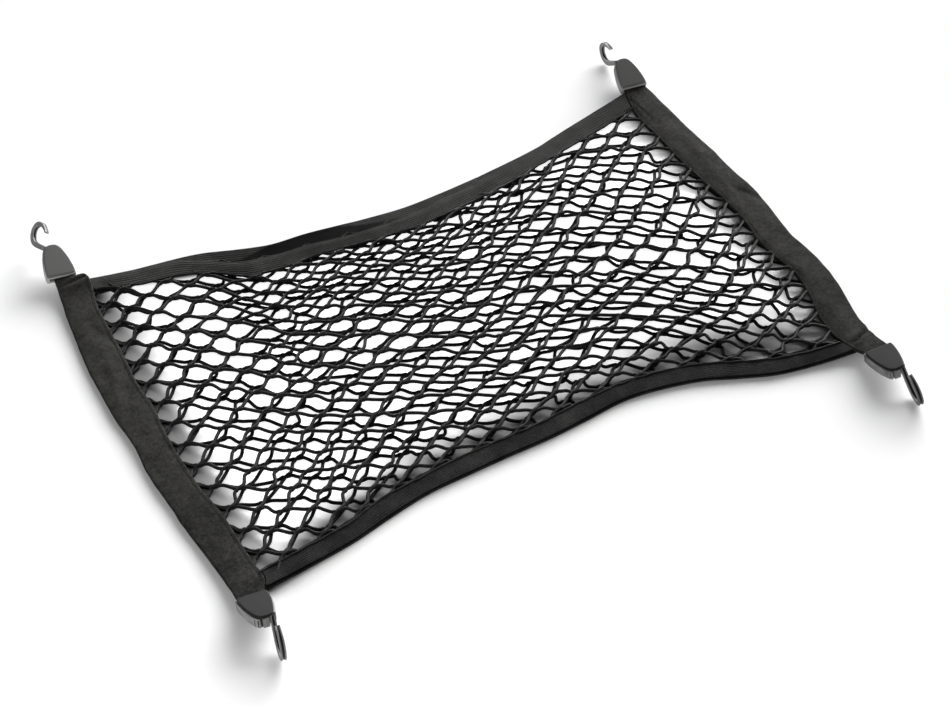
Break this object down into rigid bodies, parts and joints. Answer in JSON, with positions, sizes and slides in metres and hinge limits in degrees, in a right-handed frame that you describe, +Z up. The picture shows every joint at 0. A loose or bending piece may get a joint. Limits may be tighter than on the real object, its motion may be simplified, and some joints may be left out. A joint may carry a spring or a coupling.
{
  "type": "cargo net",
  "caption": "Flat double-layer elastic cargo net pocket bound by side tapes and ribbed elastic edges, with a clip and hook at each corner.",
  "frame": {"origin": "centre of the bounding box's underside, on the floor that the net lies on", "axes": "+X along the long edges, +Y towards the pocket's open long edge, +Z up from the floor"},
  "size_m": [0.7632, 0.6926, 0.0339],
  "materials": {
    "cord": "braided elastic cord, near black",
    "side_tape": "dense woven tape, charcoal, matt",
    "ribbed_elastic": "elastic tape with ribs along it, near black",
    "clip_body": "moulded, satin grey",
    "clip_lid": "moulded, satin dark grey",
    "hook": "moulded, satin grey"
  },
  "bodies": {
    "root": {"net_lower": "cord", "net_upper": "cord", "side_band_left": "side_tape", "side_band_right": "side_tape", "elastic_back_lower": "ribbed_elastic", "elastic_back_upper": "ribbed_elastic", "elastic_front_lower": "ribbed_elastic", "elastic_front_upper": "ribbed_elastic", "clip_base_left_back": "clip_body", "clip_lid_left_back": "clip_lid", "hook_left_back": "hook", "clip_base_left_front": "clip_body", "clip_lid_left_front": "clip_lid", "hook_left_front": "hook", "clip_base_right_back": "clip_body", "clip_lid_right_back": "clip_lid", "hook_right_back": "hook", "clip_base_right_front": "clip_body", "clip_lid_right_front": "clip_lid", "hook_right_front": "hook"}
  },
  "joints": []
}
